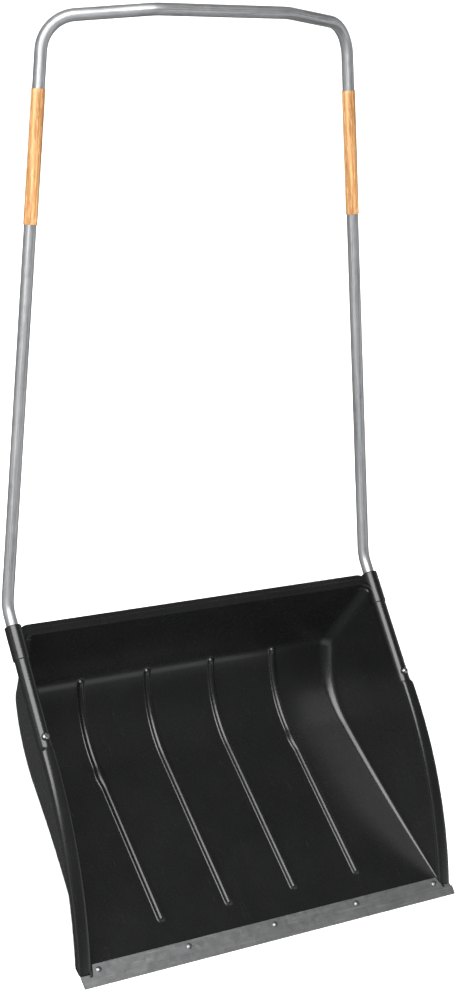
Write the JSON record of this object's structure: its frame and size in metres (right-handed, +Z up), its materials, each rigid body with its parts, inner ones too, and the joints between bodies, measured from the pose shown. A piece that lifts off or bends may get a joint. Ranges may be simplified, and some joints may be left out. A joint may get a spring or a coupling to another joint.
{
  "type": "snow shovel",
  "caption": "Sleigh-type snow shovel: black moulded scoop with a riveted steel edge, pushed with a bent tube handle.",
  "frame": {"origin": "middle of the scoop's flat sole, on the ground plane", "axes": "+X to the right across the scoop, -Y forwards to the steel edge, +Z up"},
  "size_m": [0.775, 1.2585, 1.0015],
  "materials": {
    "scoop_plastic": "satin",
    "galvanised_sheet": "satin",
    "rivet_zinc": "satin",
    "galvanised_tube": "satin",
    "grip_sleeve": "satin",
    "screw_zinc": "bright"
  },
  "bodies": {
    "root": {"scoop": "scoop_plastic", "wear_edge": "galvanised_sheet", "edge_rivets": "rivet_zinc", "handle_tube": "galvanised_tube", "grip_left": "grip_sleeve", "grip_right": "grip_sleeve", "handle_screws": "screw_zinc", "screw_washers": "screw_zinc", "lock_nuts": "screw_zinc"}
  },
  "joints": []
}
